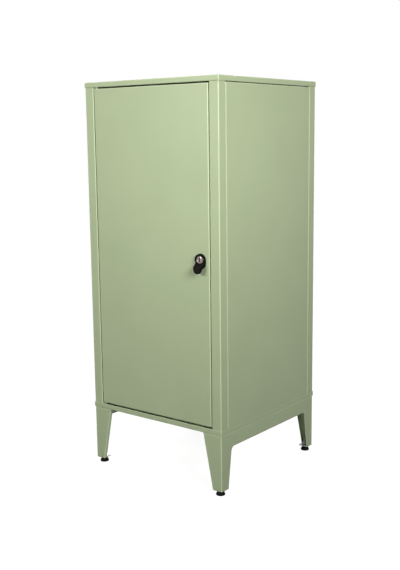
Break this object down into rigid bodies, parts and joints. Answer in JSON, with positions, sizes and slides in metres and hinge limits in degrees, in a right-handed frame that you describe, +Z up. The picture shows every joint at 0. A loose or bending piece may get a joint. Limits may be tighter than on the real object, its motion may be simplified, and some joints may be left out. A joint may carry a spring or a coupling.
{
  "type": "storage cabinet",
  "caption": "Square sheet-steel storage cabinet on tapered legs with levelling feet, an inset hinged door with a key-locking lever latch, and clip-hung shelves inside",
  "frame": {"origin": "on the floor under the middle of the outer box; the lever's end makes the box 18.0 mm deeper at the front, so the carcass's middle is at Y = +9.0 mm", "axes": "+Z up, -Y out of the door's face, +X to the right seen from the front; the hinges are on the -X side and the lock on the +X side"},
  "size_m": [0.45, 0.468, 1.064],
  "materials": {
    "sage_powder_coated_steel": "satin sage-green powder coat with a fine orange peel",
    "zinc_plated_steel": "zinc plated, semi-bright",
    "chrome_plate": "polished chrome plate",
    "black_plastic": "black, fine satin",
    "white_nylon": "natural white",
    "black_rubber": "matt black"
  },
  "bodies": {
    "cabinet": {"top_cap": "sage_powder_coated_steel", "base_cap": "sage_powder_coated_steel", "front_left_post": "sage_powder_coated_steel", "front_right_post": "sage_powder_coated_steel", "rear_left_post": "sage_powder_coated_steel", "rear_right_post": "sage_powder_coated_steel", "left_side_panel": "sage_powder_coated_steel", "right_side_panel": "sage_powder_coated_steel", "back_panel": "sage_powder_coated_steel", "floor_tray": "sage_powder_coated_steel", "lower_shelf": "sage_powder_coated_steel", "upper_shelf": "sage_powder_coated_steel", "lower_shelf_clips": "zinc_plated_steel", "upper_shelf_clips": "zinc_plated_steel", "upper_hinge_bracket": "sage_powder_coated_steel", "lower_hinge_bracket": "sage_powder_coated_steel", "upper_hinge_pin": "zinc_plated_steel", "lower_hinge_pin": "zinc_plated_steel", "hinge_rivets": "zinc_plated_steel", "door_stops": "zinc_plated_steel", "stop_rivets": "zinc_plated_steel", "door_buffers": "black_rubber", "left_leg_frame": "sage_powder_coated_steel", "right_leg_frame": "sage_powder_coated_steel", "leg_bolts": "zinc_plated_steel", "leg_nuts": "zinc_plated_steel", "foot_plates": "zinc_plated_steel", "foot_nuts": "zinc_plated_steel"},
    "door": {"door_panel": "sage_powder_coated_steel", "door_stiffener": "sage_powder_coated_steel", "upper_hinge_bush": "white_nylon", "lower_hinge_bush": "white_nylon", "lock_escutcheon": "black_plastic", "lock_nut": "zinc_plated_steel"},
    "handle": {"lock_handle": "black_plastic", "lock_barrel": "chrome_plate", "lock_cam": "zinc_plated_steel", "cam_screw": "zinc_plated_steel"},
    "plug": {"lock_plug": "chrome_plate"},
    "front_left_foot": {"front_left_foot_pad": "black_plastic", "front_left_foot_stem": "zinc_plated_steel"},
    "front_right_foot": {"front_right_foot_pad": "black_plastic", "front_right_foot_stem": "zinc_plated_steel"},
    "rear_left_foot": {"rear_left_foot_pad": "black_plastic", "rear_left_foot_stem": "zinc_plated_steel"},
    "rear_right_foot": {"rear_right_foot_pad": "black_plastic", "rear_right_foot_stem": "zinc_plated_steel"}
  },
  "joints": [
    {"name": "door_swing", "type": "hinge", "parent": "cabinet", "child": "door", "pos_m": [-0.1849, -0.2081, 0.614], "axis": [0, 0, -1], "range_deg": [0, 105]},
    {"name": "handle_turn", "type": "hinge", "parent": "door", "child": "handle", "pos_m": [0.1642, -0.2146, 0.614], "axis": [0, 1, 0], "range_deg": [0, 90]},
    {"name": "plug_turn", "type": "hinge", "parent": "handle", "child": "plug", "pos_m": [0.1642, -0.2146, 0.614], "axis": [0, 1, 0], "range_deg": [0, 90]},
    {"name": "front_left_foot_level", "type": "slide", "parent": "cabinet", "child": "front_left_foot", "axis": [0, 0, -1], "range_m": [0, 0.01]},
    {"name": "front_right_foot_level", "type": "slide", "parent": "cabinet", "child": "front_right_foot", "axis": [0, 0, -1], "range_m": [0, 0.01]},
    {"name": "rear_left_foot_level", "type": "slide", "parent": "cabinet", "child": "rear_left_foot", "axis": [0, 0, -1], "range_m": [0, 0.01]},
    {"name": "rear_right_foot_level", "type": "slide", "parent": "cabinet", "child": "rear_right_foot", "axis": [0, 0, -1], "range_m": [0, 0.01]}
  ]
}
